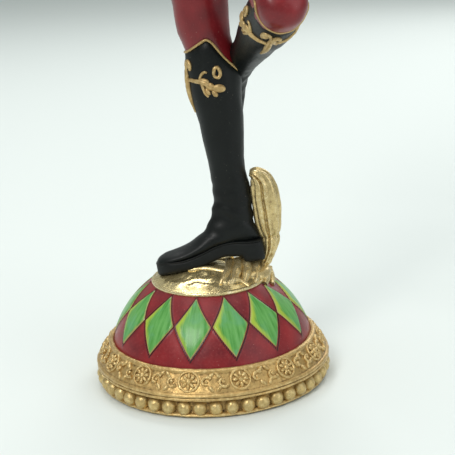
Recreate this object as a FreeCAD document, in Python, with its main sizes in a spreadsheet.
"""A painted polyresin figurine: a harlequin acrobat who balances on one boot on top of a domed base.

Units are millimetres. The origin is the centre of the felt pad's underside, +Z is up, and the
standing boot points along -X. Every piece of the figurine is one named solid or group of solids.
"""
import FreeCAD, Part
import math
import os

Vector = FreeCAD.Vector
Rotation = FreeCAD.Rotation
Placement = FreeCAD.Placement

doc = FreeCAD.newDocument("figurine")
sheet = doc.addObject("Spreadsheet::Sheet", "Sizes")

# ---------------------------------------------------------------------------
# Driving dimensions
# ---------------------------------------------------------------------------
SIZES = {
    # base
    "felt_radius": 32.0, "felt_thick": 1.2, "felt_gap": 0.3, "base_lift": 0.5,
    "dome_radius": 34.8, "dome_centre": 4.16, "plinth_radius": 37.2, "shelf_radius": 38.4,
    "shelf_low": 5.6, "band_low": 8.3, "band_high": 14.6, "band_low_radius": 38.5,
    "band_lip": 0.6, "bead_radius": 2.45, "bead_circle": 37.5, "bead_count": 47,
    "bead_height": 2.95, "cord_radius": 0.7, "cord_circle": 38.6, "cord_low": 6.35,
    "cord_high": 7.6, "motif_count": 14, "rosette_radius": 3.1, "rosette_proud": 0.9,
    "scroll_radius": 1.95, "scroll_proud": 0.6, "scroll_gap": 0.2,
    "diamond_half": 5.95, "diamond_up": 10.3, "diamond_down": 10.6, "diamond_tilt": 38.5,
    "diamond_proud": 0.45, "cap_radius": 19.4, "cap_sphere": 42.0, "cap_over": 0.3,
    "cap_lip": 0.6,
    # gilt drapery, and the standing point of the figure on the cap
    "mound_long": 21.0, "mound_wide": 23.0, "mound_tall": 7.2, "drape_wide": 9.6,
    "foot_x": 9.0, "foot_y": 0.8, "foot_rise": 0.05, "leg_lean": 6.8, "leg_back": 2.8,
    # boot and leg, measured in the boot's own frame
    "foot_wide": 11.25,
    "ankle_deep": 12.4, "ankle_wide": 10.2, "shin_deep": 11.7, "shin_wide": 10.8,
    "calf_deep": 17.2, "calf_wide": 15.6, "knee_deep": 15.3, "knee_wide": 14.8,
    "knee_height": 72.5, "thigh_deep": 20.5, "thigh_wide": 20.0, "hip_height": 133.0,
    "leg_axis": 3.4, "cuff_front": 70.2, "cuff_peak": 73.6, "cuff_back": 60.6,
    "trim_thick": 0.9, "trim_proud": 0.45, "relief_proud": 0.85,
    # steel inside
    "rod_radius": 1.5, "rod_gap": 0.05, "rod_in_base": 22.0, "pin_radius": 1.0, "pin_long": 12.0,
    # the raised leg's two directions, in degrees
    "thigh_drop": 50.4, "thigh_open": 6.3, "shin_drop": 23.6, "shin_cross": 11.9,
    "foot_tuck": 13.0,
    # body, measured in the body's own frame
    "body_yaw": -18.0, "hip_apart": 24.0, "hip_wide": 42.0, "hip_deep": 24.0, "waist_wide": 29.5,
    "waist_deep": 18.5, "waist_height": 20.0, "chest_wide": 41.0, "chest_deep": 23.0,
    "chest_height": 52.0, "shoulder_height": 66.0, "shoulder_apart": 47.0, "neck_height": 72.0,
    "neck_wide": 11.5, "belt_tall": 4.6, "belt_thick": 1.3, "skirt_wide": 55.0, "skirt_deep": 41.0,
    "skirt_drop": 5.0, "skirt_thick": 1.3, "dag_count": 10, "ruff_radius": 16.5, "ruff_tall": 4.6,
    "head_tall": 33.0, "head_wide": 22.0, "head_deep": 27.0, "chin_height": 83.0,
    "hood_thick": 1.5, "mask_thick": 0.9, "bell_radius": 2.6, "button_radius": 1.15, "button_count": 4,
    "thigh_long": 61.0, "upper_arm": 46.0, "forearm": 36.0, "sleeve_wide": 13.5,
    "wrist_wide": 7.4, "cuff_long": 7.0, "hand_long": 25.0,
}
for row, (alias, value) in enumerate(SIZES.items(), start=1):
    sheet.set("A%d" % row, alias)
    sheet.set("B%d" % row, str(value))
    sheet.setAlias("B%d" % row, alias)
doc.recompute()


class Named:
    """The sheet's cells, read back by alias."""

    def __getattr__(self, alias):
        return float(sheet.get(alias))


size = Named()


# ---------------------------------------------------------------------------
# Small helpers
# ---------------------------------------------------------------------------
def bind(obj, **cells):
    """Binds properties of an object to formulas over the sheet's cells."""
    for prop, formula in cells.items():
        obj.setExpression(prop.replace("__", "."), formula)
    return obj


def feature(kind, name, placement=None, **cells):
    obj = doc.addObject(kind, name)
    if placement is not None:
        obj.Placement = placement
    return bind(obj, **cells)


def cut(name, base, tool):
    obj = doc.addObject("Part::Cut", name)
    obj.Base, obj.Tool = base, tool
    return obj


def common(name, base, tool):
    obj = doc.addObject("Part::Common", name)
    obj.Base, obj.Tool = base, tool
    return obj


def fuse(name, shapes):
    if len(shapes) == 1:
        return shapes[0]
    obj = doc.addObject("Part::MultiFuse", name)
    obj.Shapes = shapes
    return obj


def group(name, shapes):
    """Separate solids that share one node."""
    obj = doc.addObject("Part::Compound", name)
    obj.Links = shapes
    return obj


def solid(name, shape):
    obj = doc.addObject("Part::Feature", name)
    obj.Shape = shape
    return obj


def oval(frame, at, along_x, along_y, turn=Rotation()):
    """A closed oval wire, along_x by along_y across, in a frame."""
    circle = Part.Circle(Vector(0, 0, 0), Vector(0, 0, 1), 1.0).toShape()
    scale = FreeCAD.Matrix()
    scale.scale(along_x / 2.0, along_y / 2.0, 1.0)
    wire = Part.Wire(circle.transformGeometry(scale))
    wire.Placement = frame.multiply(Placement(Vector(*at), turn))
    return wire


def limb(name, frame, stations, grow=0.0):
    """A smooth solid through level ovals: each station is (height, x, y, across x, across y)."""
    rings = [oval(frame, (x, y, z), wx + 2 * grow, wy + 2 * grow) for z, x, y, wx, wy in stations]
    return solid(name, Part.makeLoft(rings, True, False))


def prism(name, frame, outline, along, length):
    """A straight extrusion of a polygon given in a frame."""
    face = Part.Face(Part.makePolygon([frame.multVec(Vector(*p)) for p in outline + outline[:1]]))
    return solid(name, face.extrude(frame.Rotation.multVec(Vector(*along)) * length))


def pointing(start, end, hint=Vector(0, 0, 1)):
    """A frame at start whose +Z looks at end and whose -X leans towards hint."""
    up = (end - start).normalize()
    back = (hint - up * hint.dot(up)).normalize() * -1
    side = up.cross(back)
    matrix = FreeCAD.Matrix(back.x, side.x, up.x, start.x, back.y, side.y, up.y, start.y,
                            back.z, side.z, up.z, start.z, 0, 0, 0, 1)
    return Placement(matrix)


def around(count, start=0.0):
    """Angles of evenly spaced copies about +Z, in degrees, with 0 at -Y."""
    return [start + 360.0 * i / count for i in range(int(count))]


LEVEL = Rotation()


def tube(name, points, widths, side=Vector(0, 1, 0)):
    """A solid that follows points, with an oval of (across, along side) at each, square to the path."""
    wires = []
    for i, point in enumerate(points):
        ahead = points[min(i + 1, len(points) - 1)] - points[max(i - 1, 0)]
        frame = pointing(point, point + ahead, side * -1)
        wires.append(oval(frame, (0, 0, 0), widths[i][1], widths[i][0]))
    return solid(name, Part.makeLoft(wires, True, False))


# ---------------------------------------------------------------------------
# Base: felt pad, dome, plinth, band and the gilt cap
# ---------------------------------------------------------------------------
dome_flat = size.dome_centre + math.sqrt(size.dome_radius ** 2 - size.cap_radius ** 2)
cap_edge = size.cap_radius + size.cap_over
cap_centre = dome_flat + size.cap_lip - math.sqrt(size.cap_sphere ** 2 - cap_edge ** 2)
cap_top = cap_centre + size.cap_sphere
FOOT = Placement(Vector(size.foot_x, size.foot_y, cap_top + size.foot_rise),
                 Rotation(Vector(1, 0, 0), -size.leg_back).multiply(Rotation(Vector(0, 1, 0), -size.leg_lean)))

felt_pad = feature("Part::Cylinder", "felt_pad", Radius="Sizes.felt_radius", Height="Sizes.felt_thick")
felt_recess = feature("Part::Cylinder", "felt_recess", Radius="Sizes.felt_radius + Sizes.felt_gap",
                      Height="Sizes.felt_thick")

rod_start = -size.rod_in_base
rod_top = size.hip_height + 6.0
rod = feature("Part::Cylinder", "leg_rod", FOOT.multiply(Placement(Vector(size.leg_axis, 0, rod_start), LEVEL)),
              Radius="Sizes.rod_radius")
rod.Height = rod_top - rod_start
rod_hole = feature("Part::Cylinder", "rod_hole", rod.Placement, Radius="Sizes.rod_radius + Sizes.rod_gap")
rod_hole.Height = rod_top - rod_start

ball = feature("Part::Sphere", "dome_ball", Radius="Sizes.dome_radius", Placement__Base__z="Sizes.dome_centre")
dome_slab = feature("Part::Cylinder", "dome_slab", Radius="Sizes.dome_radius + 1",
                    Placement__Base__z="Sizes.base_lift")
dome_slab.Height = dome_flat - size.base_lift
dome_form = common("dome_form", ball, dome_slab)
base_dome = cut("base_dome", cut("dome_with_recess", dome_form, felt_recess), rod_hole)

plinth_low = feature("Part::Cylinder", "plinth_low", Radius="Sizes.plinth_radius",
                     Height="Sizes.shelf_low - Sizes.base_lift", Placement__Base__z="Sizes.base_lift")
plinth_shelf = feature("Part::Cylinder", "plinth_shelf", Radius="Sizes.shelf_radius",
                       Height="Sizes.band_low - Sizes.shelf_low", Placement__Base__z="Sizes.shelf_low")
plinth_form = fuse("plinth_form", [plinth_low, plinth_shelf])
plinth_ring = cut("plinth_ring", plinth_form, ball)

band_cone = feature("Part::Cone", "band_cone", Radius1="Sizes.band_low_radius",
                    Height="Sizes.band_high - Sizes.band_low", Placement__Base__z="Sizes.band_low")
band_top_radius = math.sqrt(size.dome_radius ** 2 - (size.band_high - size.dome_centre) ** 2) + size.band_lip
band_cone.Radius2 = band_top_radius
gilt_band = cut("gilt_band", band_cone, ball)

beads = []
for i, angle in enumerate(around(size.bead_count)):
    turn = Placement(Vector(0, 0, 0), Rotation(Vector(0, 0, 1), angle))
    spot = turn.multVec(Vector(0, -size.bead_circle, size.bead_height))
    beads.append(feature("Part::Sphere", "bead_%02d" % i, Placement(spot, turn.Rotation),
                         Radius="Sizes.bead_radius"))
bead_row = cut("bead_row", group("bead_balls", beads), plinth_form)

cords = [feature("Part::Torus", "cord_" + level, Radius1="Sizes.cord_circle", Radius2="Sizes.cord_radius",
                 Placement__Base__z="Sizes.cord_" + level) for level in ("low", "high")]
plinth_cords = cut("plinth_cords", cut("cords_off_plinth", group("cord_rings", cords), plinth_form), band_cone)

band_slope = math.atan2(size.band_low_radius - band_top_radius, size.band_high - size.band_low)
band_middle = (size.band_low_radius + band_top_radius) / 2.0
band_level = (size.band_low + size.band_high) / 2.0
SINK = 0.6


def on_band(name, angle, radius, proud):
    """A disc laid on the sloping band, its underside sunk into it."""
    turn = Placement(Vector(0, 0, 0), Rotation(Vector(0, 0, 1), angle))
    lie = Placement(Vector(0, -band_middle, band_level), Rotation(Vector(1, 0, 0), 90.0 - math.degrees(band_slope)))
    disc = feature("Part::Cylinder", name, turn.multiply(lie).multiply(Placement(Vector(0, 0, -SINK), LEVEL)),
                   Radius="Sizes.%s_radius" % radius)
    return bind(disc, Height="Sizes.%s_proud + %g" % (proud, SINK))


rosettes, scrolls = [], []
scroll_turn = math.degrees((size.scroll_radius + size.scroll_gap / 2.0) / band_middle)
for i, angle in enumerate(around(size.motif_count, 180.0 / size.motif_count)):
    rosettes.append(on_band("rosette_%02d" % i, angle, "rosette", "rosette"))
    for side, sign in (("a", -1), ("b", 1)):
        away = angle + sign * (180.0 / size.motif_count - scroll_turn)
        scrolls.append(on_band("scroll_%02d%s" % (i, side), away, "scroll", "scroll"))
band_rosettes = cut("band_rosettes", group("rosette_discs", rosettes), band_cone)
band_scrolls = cut("band_scrolls", group("scroll_discs", scrolls), band_cone)

diamonds = []
for i, angle in enumerate(around(size.motif_count, 180.0 / size.motif_count)):
    turn = Placement(Vector(0, 0, size.dome_centre), Rotation(Vector(0, 0, 1), angle))
    face = turn.multiply(Placement(Vector(0, 0, 0), Rotation(Vector(1, 0, 0), 90.0 - size.diamond_tilt)))
    low = size.dome_radius - 4.0
    outline = [(0, size.diamond_up, low), (size.diamond_half, 0, low), (0, -size.diamond_down, low),
               (-size.diamond_half, 0, low)]
    diamonds.append(prism("diamond_%02d" % i, face, outline, (0, 0, 1), 8.0))
proud_ball = feature("Part::Sphere", "proud_ball", Radius="Sizes.dome_radius + Sizes.diamond_proud",
                     Placement__Base__z="Sizes.dome_centre")
diamond_shell = cut("diamond_shell", proud_ball, ball)
dome_diamonds = common("dome_diamonds", group("diamond_prisms", diamonds), diamond_shell)

cap_ball = feature("Part::Sphere", "cap_ball", Placement(Vector(0, 0, cap_centre), LEVEL),
                   Radius="Sizes.cap_sphere")
cap_disc = feature("Part::Cylinder", "cap_disc", Placement(Vector(0, 0, dome_flat), LEVEL),
                   Radius="Sizes.cap_radius + Sizes.cap_over", Height="12")
cap_form = common("cap_form", cap_disc, cap_ball)

# ---------------------------------------------------------------------------
# Boots and legs. Both boots come from one function, in the boot's own frame:
# the sole is level, the toe points along -X and the shaft stands along +Z.
# ---------------------------------------------------------------------------
LEG = [
    (5.0, 3.3, 0, size.ankle_deep + 1.4, size.ankle_wide - 1.8),
    (12.0, 2.6, 0, size.ankle_deep, size.ankle_wide - 0.9),
    (17.0, 2.5, 0, size.ankle_deep + 0.1, size.ankle_wide - 0.3),
    (22.0, 2.8, 0, size.ankle_deep, size.ankle_wide),
    (30.0, 2.6, 0, size.shin_deep, size.shin_wide),
    (38.7, 3.0, 0, size.shin_deep + 1.3, size.shin_wide + 1.2),
    (48.7, 3.45, 0, size.calf_deep - 2.3, size.calf_wide - 1.6),
    (60.0, 3.5, 0, size.calf_deep, size.calf_wide),
    (67.5, 3.3, 0, size.calf_deep - 0.8, size.calf_wide - 0.4),
    (size.knee_height, 3.25, 0, size.knee_deep, size.knee_wide),
    (size.knee_height + 5.5, 2.6, 0, size.knee_deep + 1.6, size.knee_wide + 1.2),
]
THIGH = [
    (size.knee_height + 14.0, 3.0, 0, size.thigh_deep - 2.6, size.thigh_wide - 2.6),
    (size.knee_height + 32.0, 3.2, 0, size.thigh_deep, size.thigh_wide),
    (size.hip_height - 12.0, 3.6, 0, size.thigh_deep + 1.6, size.thigh_wide + 1.2),
    (size.hip_height, 3.8, 0, size.thigh_deep + 0.8, size.thigh_wide + 0.4),
]
KNEE_CAP = [(size.knee_height + 10.0, 2.8, 0, size.knee_deep - 1.5, size.knee_wide - 1.6)]
FOOT_TOPS = [(9.8, 6.2, 0.55), (8.3, 11.5, 0.85), (4.0, 15.5, 1.0), (-1.0, 17.5, 1.02), (-4.8, 16.6, 1.02),
             (-7.6, 12.9, 1.0), (-12.6, 9.6, 0.98), (-17.9, 7.5, 0.97), (-22.4, 6.4, 0.78),
             (-24.7, 5.4, 0.58), (-25.5, 4.6, 0.45)]
SOLE_SIDE = [(-26.4, 3.7), (-22.8, 3.9), (-17.4, 3.4), (-12.0, 4.5), (-7.0, 6.0), (-4.0, 6.6), (1.2, 6.4),
             (5.7, 6.0), (11.0, 5.9), (11.0, -0.6), (2.8, -0.6), (2.5, 1.9), (-2.0, 2.6), (-5.0, 2.4),
             (-8.5, 1.4), (-14.0, 0.9), (-20.0, 0.5), (-26.4, 0.1)]
SOLE_PLAN = [(10.2, 0), (9.9, 2.4), (8.4, 4.1), (4.0, 4.6), (-1.0, 4.2), (-5.0, 4.3), (-10.0, 5.2), (-15.0, 5.8),
             (-19.0, 5.7), (-23.0, 4.3), (-25.4, 2.6), (-25.8, 0)]
HALF_SLAB = 20.0
FOOT_SUNK = 3.0
ACROSS_LEG = Rotation(Vector(1, 1, 1), 120)
REACH = 110.0


def cuff_line(drop):
    """The boot's top edge seen from the side: a level front, a peak at the side, a low back."""
    return [(-30.0, size.cuff_front - 1.0 - drop), (-5.0, size.cuff_front - drop), (3.2, size.cuff_peak - drop),
            (12.6, size.cuff_back - drop), (30.0, size.cuff_back - 18.0 - drop), (REACH, size.cuff_back - 18.0 - drop)]


def side_prism(name, frame, line):
    """A polygon in the boot's side view, extruded through the whole leg."""
    return prism(name, frame, [(x, -HALF_SLAB, z) for x, z in line], (0, 1, 0), 2 * HALF_SLAB)


# the gold relief's bosses: (angle from the shin's front, height, radius)
RELIEF = [(0, 52.4, 1.3), (0, 55.8, 1.7), (0, 59.6, 1.7), (0, 64.4, 2.6), (0, 69.0, 1.5)]
for side in (-1, 1):
    RELIEF += [(side * a, z, r) for a, z, r in
               ((30, 66.6, 1.5), (34, 61.6, 1.3), (50, 58.4, 1.3), (66, 62.0, 2.4), (72, 56.4, 1.5),
                (92, 60.2, 1.5), (84, 66.8, 1.5))]


def calf_spot(frame, angle, height, off):
    """A point off the boot's shaft: angle 0 is its front, and positive turns towards -Y."""
    share = min(max((height - 48.7) / 11.3, 0.0), 1.0)
    deep = size.calf_deep - 2.3 * (1 - share)
    wide = size.calf_wide - 1.6 * (1 - share)
    turn = math.radians(angle)
    return frame.multVec(Vector(3.5 - (deep / 2.0 + off) * math.cos(turn),
                                -(wide / 2.0 + off) * math.sin(turn), height))


def boot(side, frame, foot_frame, leg):
    """The sole, upper, gold trim and gold relief of one boot. leg is the whole leg's solid."""
    plan = [(x, y, -2.0) for x, y in SOLE_PLAN] + [(x, -y, -2.0) for x, y in reversed(SOLE_PLAN[1:-1])]
    profile = side_prism(side + "_sole_profile", foot_frame, SOLE_SIDE)
    sole = common(side + "_sole_form", prism(side + "_sole_plan", foot_frame, plan, (0, 0, 1), 12.0), profile)
    tops = [oval(foot_frame, (x, 0, (top - FOOT_SUNK) / 2.0), size.foot_wide * share, top + FOOT_SUNK,
                 ACROSS_LEG) for x, top, share in FOOT_TOPS]
    foot = solid(side + "_foot_form", Part.makeLoft(tops, True, False))
    under = side_prism(side + "_under", foot_frame, SOLE_SIDE[:9] + [(11.0, -8.0), (-26.4, -8.0)])
    above = side_prism(side + "_above", frame, cuff_line(0.0) + [(REACH, 160.0), (-30.0, 160.0)])
    below = side_prism(side + "_below", frame, cuff_line(size.trim_thick) + [(REACH, -20.0), (-30.0, -20.0)])
    lower_leg = cut(side + "_lower_leg", common(side + "_leg_below", leg, below), under)
    upper = fuse(side + "_upper_form", [lower_leg, cut(side + "_foot_top", foot, under)])
    proud = limb(side + "_proud_leg", frame, LEG, size.trim_proud)
    slab = cut(side + "_trim_slab", cut(side + "_trim_top", proud, above), below)
    bosses = []
    for i, (angle, height, radius) in enumerate(RELIEF):
        spot = calf_spot(frame, angle, height, radius * size.relief_proud)
        boss = feature("Part::Sphere", "%s_boss_%02d" % (side, i), Placement(spot, LEVEL))
        boss.Radius = radius
        bosses.append(boss)
    relief = group(side + "_relief_form", bosses)
    return sole, upper, slab, relief, above


# standing leg
standing_form = limb("standing_leg_form", FOOT, LEG + THIGH)
s_sole, s_upper, s_trim, s_relief, s_above = boot("standing", FOOT, FOOT, standing_form)
hip = FOOT.multVec(Vector(3.8, 0, size.hip_height))

# the body's frame: its origin is midway between the hip joints, -Y is its front, +X its left
yaw = Rotation(Vector(0, 0, 1), size.body_yaw)
BODY = Placement(hip + yaw.multVec(Vector(size.hip_apart / 2.0, 0, 1.0)), yaw)


def heading(drop, turn, along):
    """A level direction turned about +Z, then dropped below the horizon, in degrees."""
    flat = Rotation(Vector(0, 0, 1), turn).multVec(along)
    return flat * math.cos(math.radians(drop)) - Vector(0, 0, math.sin(math.radians(drop)))


raised_hip = BODY.multVec(Vector(size.hip_apart / 2.0, 0, 1.0))
thigh_way = heading(size.thigh_drop, size.thigh_open, Vector(0, -1, 0))
knee = raised_hip + thigh_way * size.thigh_long
shin_way = heading(size.shin_drop, size.shin_cross, Vector(0, 1, 0))
SHIN = pointing(knee + shin_way * size.knee_height, knee, thigh_way).multiply(
    Placement(Vector(-3.3, 0, 0), LEVEL))
THIGH_FRAME = pointing(knee, raised_hip, shin_way * -1)

raised_form = limb("raised_leg_form", SHIN, LEG + KNEE_CAP)
tuck_turn = Placement(Vector(size.leg_axis, 0, 0), Rotation(Vector(0, 0, 1), -size.foot_tuck))
TUCKED = SHIN.multiply(tuck_turn).multiply(Placement(Vector(-size.leg_axis, 0, 0), LEVEL))
r_sole, r_upper, r_trim, r_relief, r_above = boot("raised", SHIN, TUCKED, raised_form)

# the raised thigh's ovals, from the knee to the hip
RAISED_THIGH = [
    (-7.0, 0.6, 0, size.knee_deep - 7.0, size.knee_wide - 6.6),
    (-4.0, 0.3, 0, size.knee_deep - 1.6, size.knee_wide - 1.4),
    (4.0, 0, 0, size.knee_deep + 1.6, size.knee_wide + 1.8),
    (16.0, 0, 0, size.thigh_deep - 2.6, size.thigh_wide - 2.6),
    (size.thigh_long * 0.5, 0, 0, size.thigh_deep, size.thigh_wide),
    (size.thigh_long * 0.72, 0, 0, size.thigh_deep + 0.8, size.thigh_wide + 0.6),
]
GROIN = -2.0
groin_share = (1.0 - GROIN) / math.sin(math.radians(size.thigh_drop))
groin_at = BODY.inverse().multVec(raised_hip + thigh_way * groin_share)
thigh_rings = [oval(THIGH_FRAME, (x, y, z), deep, wide) for z, x, y, deep, wide in RAISED_THIGH]
thigh_rings.append(oval(BODY, (groin_at.x, groin_at.y, groin_at.z),
                        (size.thigh_deep + 0.8) / math.sin(math.radians(size.thigh_drop)), size.thigh_wide + 0.6,
                        Rotation(Vector(0, 0, 1), 90)))
raised_thigh_form = solid("raised_thigh_form", Part.makeLoft(thigh_rings, True, False))

# ---------------------------------------------------------------------------
# Gilt drapery: folds heaped on the cap, and a roll that rises behind the boot
# ---------------------------------------------------------------------------
mound = feature("Part::Ellipsoid", "drape_mound",
                Placement(Vector(size.foot_x + 2.0, size.foot_y - 2.8, cap_top - 4.6), LEVEL),
                Radius1="Sizes.mound_tall", Radius2="Sizes.mound_long / 2", Radius3="Sizes.mound_wide / 2")
ROLL = [(-3.2, 0.34), (3.5, 0.42), (8.4, 0.65), (13.0, 0.9), (19.0, 1.0), (24.0, 0.95), (28.0, 0.8), (31.0, 0.4)]
ROLL_LEAN = (9.8, 12.0, 12.6, 12.6, 12.2, 11.6, 10.4, 8.6)
roll_points = [Vector(size.foot_x + lean, size.foot_y + 0.6, cap_top + rise)
               for (rise, share), lean in zip(ROLL, ROLL_LEAN)]
roll_widths = [(size.drape_wide * share, size.drape_wide * (0.25 + 0.5 * share)) for rise, share in ROLL]
roll_form = tube("roll_form", roll_points, roll_widths)

# ---------------------------------------------------------------------------
# Body, in its own frame
# ---------------------------------------------------------------------------
HIPS = [
    (GROIN, 0, 0, size.hip_wide + 0.3, size.hip_deep),
    (8.0, 0, 0, size.hip_wide - 3.5, size.hip_deep - 1.5),
    (14.0, 0, 0, size.waist_wide + 3.5, size.waist_deep + 1.8),
]
waist = HIPS[-1][0]
TORSO = [
    (waist, 0, 0, size.waist_wide + 2.0, size.waist_deep + 1.0),
    (size.waist_height, 0, 0, size.waist_wide, size.waist_deep),
    (size.waist_height + 10.0, 0, 0, size.waist_wide + 4.0, size.waist_deep + 1.0),
    (size.chest_height - 10.0, 0, 0, size.chest_wide - 3.0, size.chest_deep - 1.6),
    (size.chest_height, 0, 0, size.chest_wide, size.chest_deep),
    (size.chest_height + 8.0, 0, 0.4, size.chest_wide - 1.0, size.chest_deep - 2.5),
    (size.shoulder_height, 0, 0.8, size.chest_wide - 6.0, size.chest_deep - 6.5),
    (size.neck_height - 2.0, 0, 1.0, size.chest_wide - 17.0, size.chest_deep - 9.5),
    (size.neck_height, 0, 1.0, size.neck_wide + 3.0, size.neck_wide + 0.5),
]
CHIN = size.chin_height
HEAD = [
    (CHIN, 0, -7.0, size.head_wide * 0.42, size.head_deep * 0.34),
    (CHIN + size.head_tall * 0.09, 0, -4.6, size.head_wide * 0.64, size.head_deep * 0.6),
    (CHIN + size.head_tall * 0.24, 0, -2.4, size.head_wide * 0.82, size.head_deep * 0.8),
    (CHIN + size.head_tall * 0.42, 0, -1.2, size.head_wide * 0.95, size.head_deep * 0.93),
    (CHIN + size.head_tall * 0.62, 0, 0, size.head_wide, size.head_deep),
    (CHIN + size.head_tall * 0.8, 0, 0.4, size.head_wide * 0.93, size.head_deep * 0.94),
    (CHIN + size.head_tall * 0.93, 0, 0.6, size.head_wide * 0.66, size.head_deep * 0.68),
    (CHIN + size.head_tall, 0, 0.6, size.head_wide * 0.26, size.head_deep * 0.28),
]


def body_point(x, y, z):
    return BODY.multVec(Vector(x, y, z))


def level_slab(name, frame, low, high, half=60.0):
    """A thick level plate, used to keep one height range of a form."""
    square = [(-half, -half, low), (half, -half, low), (half, half, low), (-half, half, low)]
    return prism(name, frame, square, (0, 0, 1), high - low)


def torso_front(level):
    """How far the doublet's front stands from the body's axis at a level."""
    for low, high in zip(TORSO, TORSO[1:]):
        if low[0] <= level <= high[0]:
            share = (level - low[0]) / (high[0] - low[0])
            return (low[4] + share * (high[4] - low[4])) / 2.0
    return size.waist_deep / 2.0


hips_form = limb("hips_form", BODY, HIPS)
trunk_room = level_slab("trunk_room", BODY, GROIN, REACH)
torso_form = limb("torso_form", BODY, TORSO)

# skirt: a flared shell whose hem is cut into points
SKIRT = [
    (waist - 0.2, 0, 0, size.hip_wide + 0.4, size.hip_deep + 2.4),
    (-size.skirt_drop, 0, 0, size.skirt_wide, size.skirt_deep),
]
skirt_outer = limb("skirt_outer", BODY, SKIRT)
skirt_inner = limb("skirt_inner", BODY, SKIRT, -size.skirt_thick)
skirt_shell = cut("skirt_shell", skirt_outer, skirt_inner)
notches = []
for i, angle in enumerate(around(size.dag_count, 180.0 / size.dag_count)):
    turn = BODY.multiply(Placement(Vector(0, 0, 0), Rotation(Vector(0, 0, 1), angle)))
    half = math.pi * (size.skirt_wide + size.skirt_deep) / 4.0 / size.dag_count * 0.98
    wedge = [(-half, 0, -size.skirt_drop - 1.0), (half, 0, -size.skirt_drop - 1.0), (0, 0, 3.0)]
    notches.append(prism("skirt_notch_%d" % i, turn, wedge, (0, -1, 0), size.skirt_wide))
skirt_cut = cut("skirt_dagged", skirt_shell, fuse("skirt_notches", notches))

def oval_plate(name, low, high, wide, deep):
    """A level plate with an oval outline, in the body's frame."""
    face = Part.Face(oval(BODY, (0, 0, low), wide, deep))
    return solid(name, face.extrude(BODY.Rotation.multVec(Vector(0, 0, high - low))))


belt_low = waist + 0.1
belt_wide = size.waist_wide + 2.2
belt_deep = size.waist_deep + 1.2
belt_outer = oval_plate("belt_outer", belt_low, belt_low + size.belt_tall, belt_wide + 2 * size.belt_thick,
                        belt_deep + 2 * size.belt_thick)
belt_inner = oval_plate("belt_inner", belt_low, belt_low + size.belt_tall, belt_wide, belt_deep)
BUCKLE = Placement(body_point(0, -belt_deep / 2.0 - size.belt_thick, belt_low + size.belt_tall / 2.0), BODY.Rotation)
buckle_plate = feature("Part::Box", "buckle_plate", BUCKLE.multiply(
    Placement(Vector(-size.belt_tall * 0.8, -1.5, -size.belt_tall * 0.68), LEVEL)),
    Length="Sizes.belt_tall * 1.6", Width="2.2", Height="Sizes.belt_tall * 1.36")
buckle_form = feature("Part::Fillet", "buckle_form")
buckle_form.Base = buckle_plate
buckle_form.Edges = [(edge, 0.8, 0.8) for edge in range(1, 13)]

BUTTON_SHARE = 0.7
button_list = []
for i in range(int(size.button_count)):
    level = size.waist_height + 7.0 + i * 8.6
    button_list.append(feature("Part::Sphere", "button_%d" % i, Placement(
        body_point(0, -torso_front(level) - size.button_radius * BUTTON_SHARE, level), LEVEL), Radius="Sizes.button_radius"))

# ruff: a thick pleated collar, plain here
ruff_disc = feature("Part::Cylinder", "ruff_disc",
                    Placement(body_point(0, 0.6, size.neck_height + 0.2), BODY.Rotation),
                    Radius="Sizes.ruff_radius", Height="Sizes.ruff_tall")
ruff_round = feature("Part::Fillet", "ruff_round")
ruff_round.Base = ruff_disc
ruff_edge = size.ruff_tall * 0.42
ruff_round.Edges = [(1, ruff_edge, ruff_edge), (3, ruff_edge, ruff_edge)]

# head, with the neck and a nose
head_skull = limb("head_skull", BODY, HEAD)
neck = feature("Part::Cylinder", "neck_form",
               Placement(body_point(0, 0.6, size.neck_height + 0.1), BODY.Rotation),
               Radius="Sizes.neck_wide / 2", Height="Sizes.chin_height - Sizes.neck_height + 9")
nose_base = CHIN + size.head_tall * 0.37
face_front = size.head_deep * 0.465
nose = solid("nose_form", Part.makeLoft([
    oval(BODY, (0, -face_front - 0.8, nose_base), 4.6, 6.6),
    oval(BODY, (0, -face_front - 0.6, nose_base + 2.4), 3.6, 5.6),
    oval(BODY, (0, -face_front + 0.4, nose_base + 8.6), 2.2, 3.0)], True, False))
head_form = fuse("head_form", [head_skull, neck, nose])

# hood: a padded round shell over the skull, open at the face and the neck, with three curled horns
HOOD = Placement(body_point(0, 0.4, CHIN + size.head_tall * 0.54), BODY.Rotation)
hood_inside = size.head_tall * 0.5 + 0.3
hood_outer = feature("Part::Sphere", "hood_outer", HOOD)
hood_outer.Radius = hood_inside + size.hood_thick
hood_inner = feature("Part::Sphere", "hood_inner", HOOD)
hood_inner.Radius = hood_inside
HORNS = {
    "right": [(-5, 1, 112), (-13, 1, 119), (-22, 0, 120), (-29, -1, 114), (-32, -2, 105)],
    "left": [(5, 1, 112), (13, 1, 119), (22, 0, 120), (29, -1, 114), (32, -2, 105)],
    "back": [(0, 4, 112), (0, 12, 119), (0, 21, 119), (0, 28, 112), (0, 31, 103)],
}
HORN_WIDTHS = [(15.0, 15.0), (12.6, 12.6), (9.6, 9.6), (6.4, 6.4), (2.6, 2.6)]
horn_tips = []
horn_forms = []
for side, route in HORNS.items():
    across = Vector(0, 1, 0) if side != "back" else Vector(1, 0, 0)
    horn_forms.append(tube(side + "_horn", [body_point(*p) for p in route], HORN_WIDTHS,
                           BODY.Rotation.multVec(across)))
    tip, last = Vector(*route[-1]), Vector(*route[-2])
    horn_tips.append(BODY.multVec(tip + (tip - last).normalize() * (size.bell_radius + 0.05)))
face_opening = solid("face_opening", Part.Face(oval(BODY, (0, -4.5, CHIN + size.head_tall * 0.4),
    size.head_wide * 0.9, size.head_tall * 1.02, Rotation(Vector(1, 0, 0), 90))).extrude(
    BODY.Rotation.multVec(Vector(0, -30, 0))))
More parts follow.
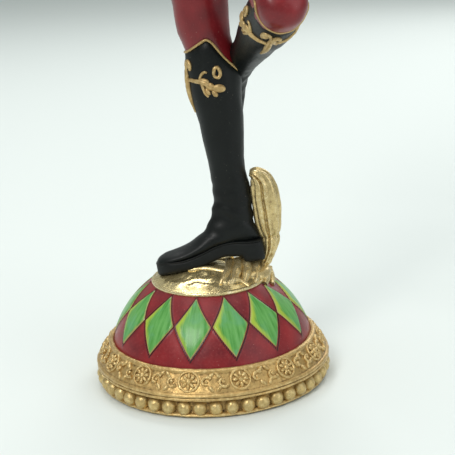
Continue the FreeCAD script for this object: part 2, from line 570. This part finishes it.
bell_list = [feature("Part::Sphere", "bell_%d" % i, Placement(tip, LEVEL), Radius="Sizes.bell_radius")
             for i, tip in enumerate(horn_tips)]

# half mask over the eyes: a curved plate in front of the face
mask_inside = size.head_wide / 2.0 + 0.4
MASK = BODY.multiply(Placement(Vector(0, -face_front - 1.0 + mask_inside, 0), LEVEL))
eye_level = CHIN + size.head_tall * 0.53
mask_outline = [(-9.0, -20, eye_level + 1.5), (-8.0, -20, eye_level + 4.2), (-3.0, -20, eye_level + 3.6),
                (0, -20, eye_level + 2.6), (3.0, -20, eye_level + 3.6), (8.0, -20, eye_level + 4.2),
                (9.0, -20, eye_level + 1.5), (7.0, -20, eye_level - 3.6), (3.4, -20, eye_level - 3.4),
                (1.6, -20, eye_level - 1.4), (-1.6, -20, eye_level - 1.4), (-3.4, -20, eye_level - 3.4),
                (-7.0, -20, eye_level - 3.6)]
mask_block = prism("mask_block", BODY, mask_outline, (0, 1, 0), 14.0)
mask_low = MASK.multiply(Placement(Vector(0, 0, eye_level - 6.0), LEVEL))
mask_outer = feature("Part::Cylinder", "mask_outer", mask_low, Height="14")
mask_outer.Radius = mask_inside + size.mask_thick
mask_inner = feature("Part::Cylinder", "mask_inner", mask_low, Height="14")
mask_inner.Radius = mask_inside
nose_outline = [(-2.4, -20, eye_level - 6), (2.4, -20, eye_level - 6), (0.9, -20, eye_level + 2.0),
                (-0.9, -20, eye_level + 2.0)]
mask_nose = prism("mask_nose", BODY, nose_outline, (0, 1, 0), 14.0)
eye_holes = [solid("eye_hole_" + side, Part.Face(oval(BODY, (x, -20, eye_level), 5.4, 2.9,
    Rotation(Vector(1, 0, 0), 90))).extrude(BODY.Rotation.multVec(Vector(0, 15, 0))))
    for side, x in (("right", -4.7), ("left", 4.7))]

# ---------------------------------------------------------------------------
# Arms and hands
# ---------------------------------------------------------------------------
shoulder = size.shoulder_apart / 2.0
ARMS = {
    "right": (Vector(-shoulder, 1, size.shoulder_height), Vector(-0.86, -0.18, 0.12), Vector(-0.22, -0.2, 0.95)),
    "left": (Vector(shoulder, 1, size.shoulder_height), Vector(0.62, 0.05, -0.78), Vector(-0.7, -0.42, -0.3)),
}
HANDS = {
    "right": (Vector(-0.1, -0.12, 0.99), Vector(0.35, -0.93, 0.0)),
    "left": (Vector(-0.52, -0.3, -0.8), Vector(0.75, -0.35, -0.4)),
}
FINGERS = ((-2.9, 0.72), (-1.0, 0.84), (1.0, 0.8), (2.8, 0.62))


def arm(side):
    """The sleeve, cuff and hand of one arm, and the places of its shoulder and wrist pins."""
    at, upper_way, fore_way = ARMS[side]
    upper_way.normalize()
    fore_way.normalize()
    elbow = at + upper_way * size.upper_arm
    wrist = elbow + fore_way * size.forearm
    hand_way, palm_way = HANDS[side]
    start, bend, end = BODY.multVec(at), BODY.multVec(elbow), BODY.multVec(wrist)
    wide = size.sleeve_wide
    upper = limb(side + "_upper_sleeve", pointing(start, bend, Vector(0, -1, 0)), [
        (-7.0, 0, 0, wide * 0.55, wide * 0.55), (-3.0, 0, 0, wide * 1.1, wide * 1.1),
        (6.0, 0, 0, wide * 1.3, wide * 1.3), (15.0, 0, 0, wide * 1.12, wide * 1.12),
        (24.0, 0, 0, wide * 0.84, wide * 0.84), (size.upper_arm, 0, 0, wide * 0.74, wide * 0.74)])
    lower = limb(side + "_lower_sleeve", pointing(bend, end, Vector(0, -1, 0)), [
        (0, 0, 0, wide * 0.74, wide * 0.74), (9.0, 0, 0, wide * 0.8, wide * 0.8),
        (size.forearm - 1.0, 0, 0, size.wrist_wide + 0.6, size.wrist_wide + 0.6)])
    joint = feature("Part::Sphere", side + "_elbow", Placement(bend, LEVEL), Radius="Sizes.sleeve_wide * 0.375")
    sleeve = fuse(side + "_sleeve_form", [upper, lower, joint])
    cuff_frame = pointing(end - (end - bend).normalize() * (size.cuff_long - 1.0), end, Vector(0, -1, 0))
    flare = limb(side + "_cuff_form", cuff_frame, [
        (0, 0, 0, size.wrist_wide + 2.6, size.wrist_wide + 2.6),
        (size.cuff_long, 0, 0, size.wrist_wide + 5.0, size.wrist_wide + 5.0)])
    palm_frame = pointing(end, end + BODY.Rotation.multVec(hand_way), BODY.Rotation.multVec(palm_way))
    palm_long = size.hand_long * 0.46
    pieces = [limb(side + "_palm", palm_frame, [
        (0.1, 0, 0, size.wrist_wide - 2.4, size.wrist_wide - 1.0),
        (palm_long * 0.35, -0.2, 0, 4.6, size.wrist_wide + 0.4),
        (palm_long * 0.8, -0.2, 0, 4.2, size.wrist_wide + 1.4),
        (palm_long, -0.3, 0, 3.4, size.wrist_wide + 0.8)])]
    for i, (y, share) in enumerate(FINGERS):
        reach = size.hand_long * 0.56 * share / 0.84
        pieces.append(limb("%s_finger_%d" % (side, i), palm_frame, [
            (palm_long - 2.0, -0.3, y * 0.95, 2.3, 2.1), (palm_long + reach * 0.5, -0.8, y * 1.25, 2.0, 1.9),
            (palm_long + reach, -2.0, y * 1.35, 1.3, 1.2)]))
    thumb_side = 1 if side == "right" else -1
    pieces.append(limb(side + "_thumb", palm_frame, [
        (2.0, -0.6, 2.2 * thumb_side, 2.9, 2.9), (7.5, -1.8, 5.8 * thumb_side, 2.5, 2.4),
        (13.0, -2.8, 7.4 * thumb_side, 1.6, 1.5)]))
    hand = fuse(side + "_hand_form", pieces)
    return sleeve, flare, hand, (start, bend), (end, palm_frame.Rotation.multVec(Vector(0, 0, 1)))


r_sleeve, r_cuff, r_hand, r_shoulder_pin, r_wrist_pin = arm("right")
l_sleeve, l_cuff, l_hand, l_shoulder_pin, l_wrist_pin = arm("left")

# ---------------------------------------------------------------------------
# Steel pins that hold the castings together, and their holes
# ---------------------------------------------------------------------------
PIN_PLACES = [
    ("neck", body_point(0, 1, size.neck_height), body_point(0, 0.6, CHIN)),
    ("right_shoulder", body_point(-shoulder + 3.0, 1, size.shoulder_height - 4.0),
     body_point(-60, 0, size.shoulder_height)),
    ("left_shoulder", body_point(shoulder - 3.0, 1, size.shoulder_height - 4.0),
     body_point(60, 0, size.shoulder_height)),
    ("right_wrist", r_wrist_pin[0], r_wrist_pin[0] + r_wrist_pin[1]),
    ("left_wrist", l_wrist_pin[0], l_wrist_pin[0] + l_wrist_pin[1]),
    ("raised_hip", raised_hip, knee),
]

pins, holes = [rod], [rod_hole]
for name, start, end in PIN_PLACES:
    way = (end - start).normalize()
    middle = pointing(start - way * (size.pin_long / 2.0), end, Vector(0.3, 0.8, 0.5))
    pins.append(feature("Part::Cylinder", name + "_pin", middle, Radius="Sizes.pin_radius", Height="Sizes.pin_long"))
    holes.append(feature("Part::Cylinder", name + "_hole", middle, Radius="Sizes.pin_radius + Sizes.rod_gap",
                         Height="Sizes.pin_long"))
pin_holes = fuse("pin_holes", holes)


def bored(name, form):
    """The form with the rod's and the pins' holes."""
    return cut(name, form, pin_holes)


def without(name, form, *others):
    """The form with its neighbours' shapes taken away one by one, so that they touch and don't overlap."""
    for i, other in enumerate(others):
        form = cut("%s_%d" % (name, i), form, other)
    return form


# ---------------------------------------------------------------------------
# The pieces, each cut to its neighbours
# ---------------------------------------------------------------------------
gilt_cap = bored("gilt_cap_bored", cap_form)
standing_sole = bored("standing_sole_bored", cut("standing_sole_seated", s_sole, cap_ball))
standing_boot = bored("standing_boot_bored", s_upper)
standing_trim = bored("standing_trim_bored", s_trim)
standing_thigh = bored("standing_thigh_bored", without(
    "standing_thigh_form", common("standing_thigh_whole", standing_form, s_above), trunk_room))
raised_boot = without("raised_boot_form", r_upper, standing_form)
raised_trim = r_trim
raised_thigh = bored("raised_thigh_bored", common("raised_thigh_whole", raised_thigh_form, r_above))
raised_sole = without("raised_sole_cut", r_sole, standing_form)
drape_folds = without("drape_folds_cut", mound, cap_ball, s_sole, s_upper)
drape_roll = without("drape_roll_cut", roll_form, mound, cap_ball, s_sole)
hips = bored("hips_bored", hips_form)
doublet = bored("doublet_bored", torso_form)
skirt = skirt_cut
belt = without("belt_fitted", belt_outer, belt_inner)
buckle = without("buckle_fitted", buckle_form, belt_outer)
buttons = without("buttons_fitted", group("button_balls", button_list), torso_form)
ruff = bored("ruff_bored", without("ruff_fitted", ruff_round, neck, torso_form))
head = bored("head_bored", head_form)
hood = without("hood_fitted", hood_outer, hood_inner, face_opening, neck)
hood_horns = without("hood_horns_fitted", group("hood_horn_forms", horn_forms), hood_outer)
bells = group("bell_balls", bell_list)
half_mask = without("half_mask_fitted", common("half_mask_block", mask_outer, mask_block), mask_inner,
                    mask_nose, *eye_holes)
right_sleeve = bored("right_sleeve_bored", without("right_sleeve_cut", r_sleeve, torso_form, r_cuff))
left_sleeve = bored("left_sleeve_bored", without("left_sleeve_cut", l_sleeve, torso_form, l_cuff))
right_cuff = bored("right_cuff_bored", without("right_cuff_cut", r_cuff, r_hand))
left_cuff = bored("left_cuff_bored", without("left_cuff_cut", l_cuff, l_hand))
right_hand = bored("right_hand_bored", r_hand)
left_hand = bored("left_hand_bored", l_hand)

NODES = {
    "felt_pad": felt_pad, "base_dome": base_dome, "plinth_ring": plinth_ring, "bead_row": bead_row,
    "plinth_cords": plinth_cords, "gilt_band": gilt_band, "band_rosettes": band_rosettes,
    "band_scrolls": band_scrolls, "dome_diamonds": dome_diamonds, "gilt_cap": gilt_cap,
    "drape_folds": drape_folds, "drape_roll": drape_roll,
    "standing_sole": standing_sole, "standing_boot": standing_boot, "standing_trim": standing_trim,
    "standing_relief": s_relief, "standing_thigh": standing_thigh,
    "raised_sole": raised_sole, "raised_boot": raised_boot, "raised_trim": raised_trim,
    "raised_relief": r_relief, "raised_thigh": raised_thigh,
    "hips": hips, "skirt": skirt, "belt": belt, "buckle": buckle, "doublet": doublet, "buttons": buttons,
    "ruff": ruff, "head": head, "half_mask": half_mask, "hood": hood, "hood_horns": hood_horns,
    "bells": bells,
    "right_sleeve": right_sleeve, "right_cuff": right_cuff, "right_hand": right_hand,
    "left_sleeve": left_sleeve, "left_cuff": left_cuff, "left_hand": left_hand,
    "leg_rod": rod, "pins": group("pin_group", pins[1:]),
}

doc.recompute()
faults = [obj.Name for obj in doc.Objects if "Invalid" in obj.State or "Error" in obj.State]
if faults:
    raise RuntimeError("these objects failed: " + ", ".join(faults))
for label, piece in NODES.items():
    if piece.Shape.isNull() or not piece.Shape.isValid() or not piece.Shape.Solids:
        raise RuntimeError("the shape of %s is empty or broken" % label)

os.makedirs("parts", exist_ok=True)
for label, piece in NODES.items():
    piece.Label = label
    piece.Shape.exportStep("parts/%s.step" % label)
